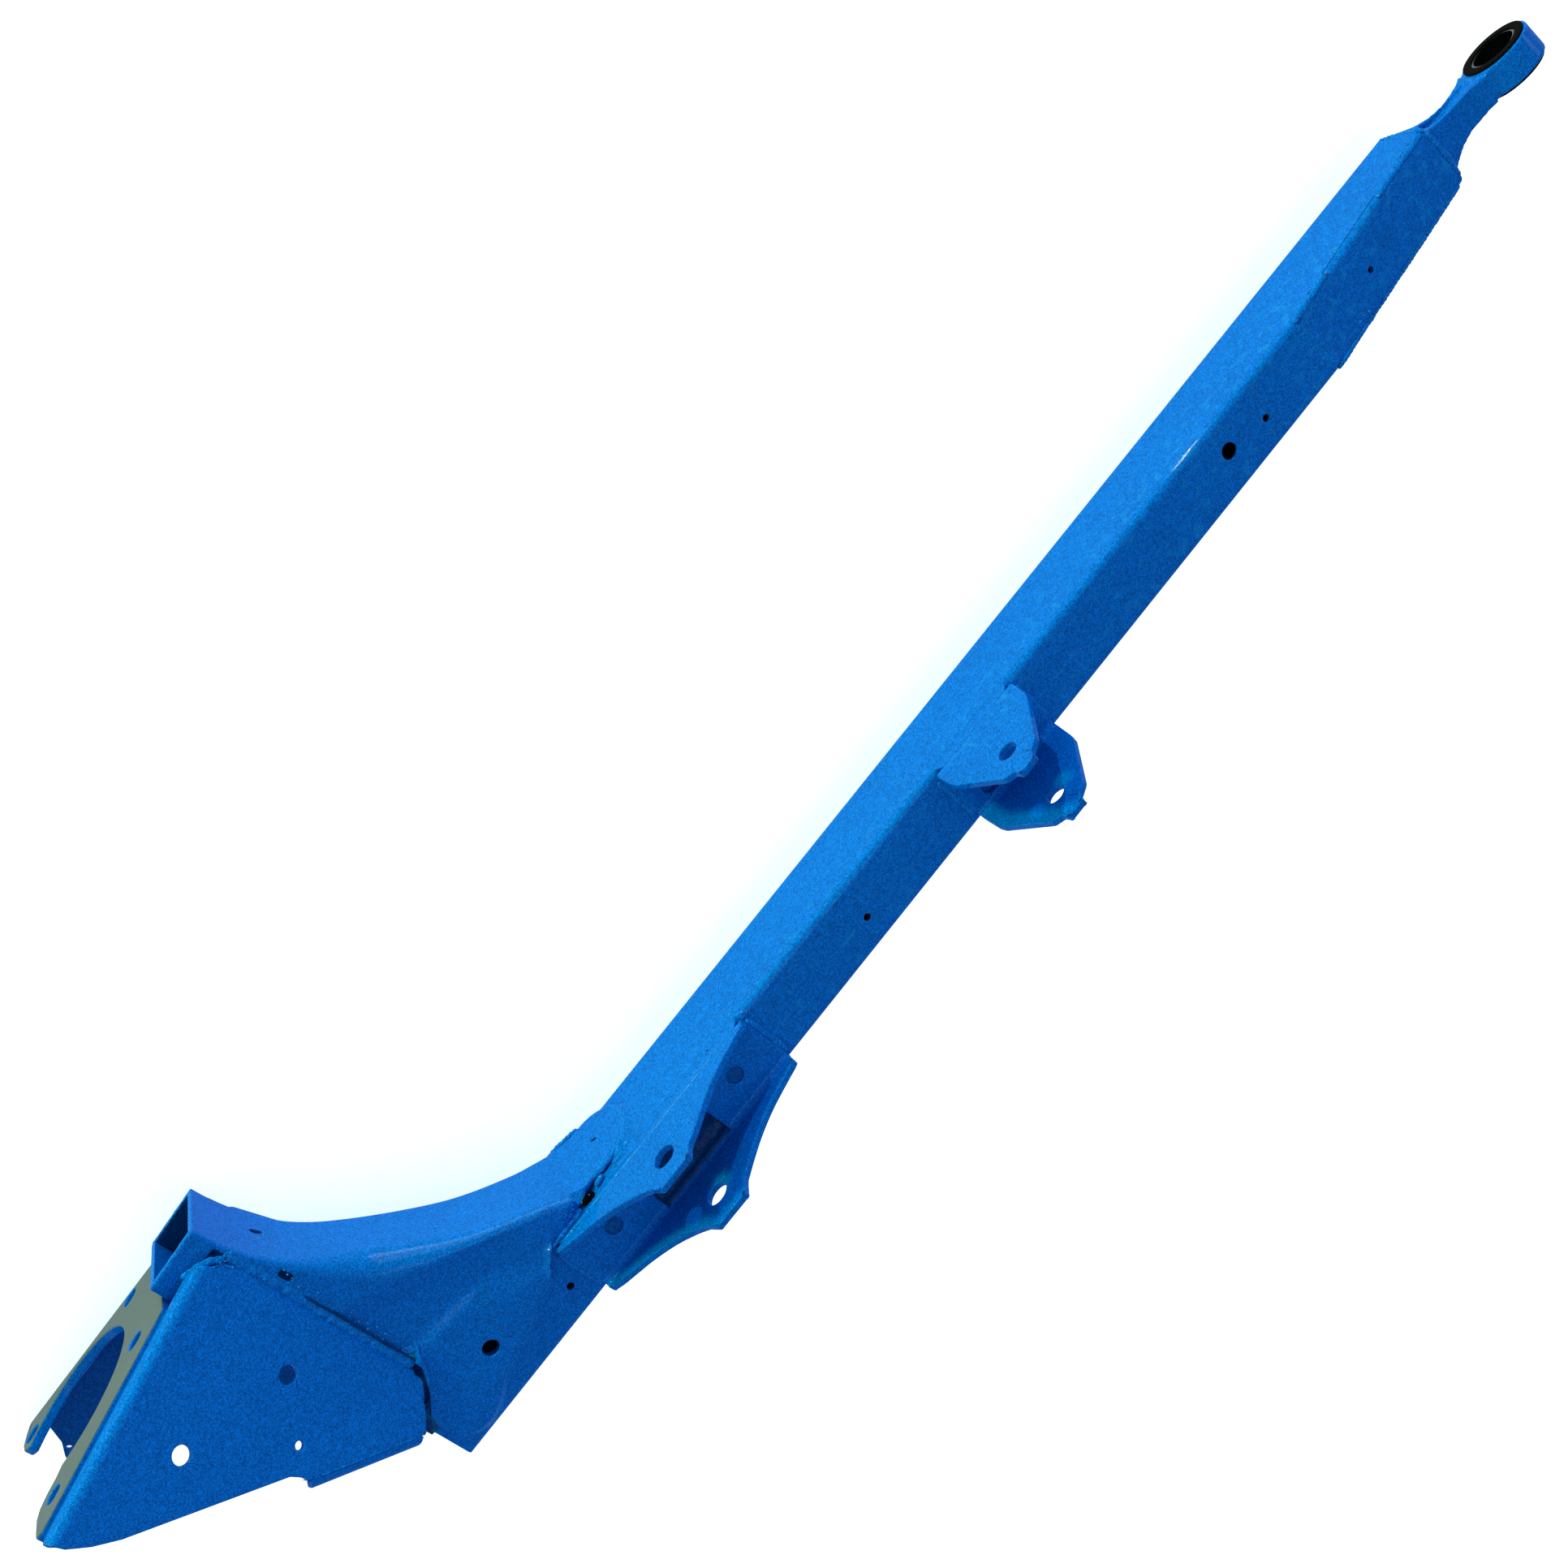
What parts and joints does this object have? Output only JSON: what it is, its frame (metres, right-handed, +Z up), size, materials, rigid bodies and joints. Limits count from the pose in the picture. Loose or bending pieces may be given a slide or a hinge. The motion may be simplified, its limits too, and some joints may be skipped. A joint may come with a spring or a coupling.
{
  "type": "trailing arm",
  "caption": "Rear trailing arm for an off-road vehicle: a straight box tube with a bushed pivot eye, clevis brackets and a flared carrier with a C-shaped hub flange.",
  "frame": {"origin": "centre of the pivot eye at the front end", "axes": "+X from the carrier forward to the pivot, along the tube; +Y outboard to the wheel; +Z up, to the bracket side of the tube"},
  "size_m": [0.9995, 0.1866, 0.1515],
  "materials": {
    "paint": "gloss metallic blue",
    "weld": "gloss metallic blue over weld bead",
    "bush": "matte black moulded bush",
    "sleeve": "black coated steel"
  },
  "bodies": {
    "arm": {"main_tube": "paint", "nose_plate": "paint", "pivot_forging": "paint", "bush_outboard": "bush", "bush_inboard": "bush", "link_bracket": "paint", "shock_bracket": "paint", "plug_weld_rear": "weld", "plug_weld_front": "weld", "outer_shell": "paint", "shell_rear_web": "paint", "carrier_top_plate": "paint", "carrier_bottom_plate": "paint", "hub_flange": "paint", "weld_tongue": "weld", "weld_seam_inner": "weld", "weld_seam_outer": "weld", "weld_lobe": "weld", "weld_nose_rear": "weld", "weld_shock_rear": "weld", "weld_shock_front": "weld", "weld_link_rear": "weld", "weld_link_front": "weld", "weld_neck_outboard": "weld", "weld_neck_inboard": "weld"},
    "sleeve": {"pivot_sleeve": "sleeve"}
  },
  "joints": [
    {"name": "pivot_turn", "type": "hinge", "parent": "arm", "child": "sleeve", "pos_m": [0, 0, 0], "axis": [0.0079, 0.9898, -0.1425], "continuous": true}
  ]
}
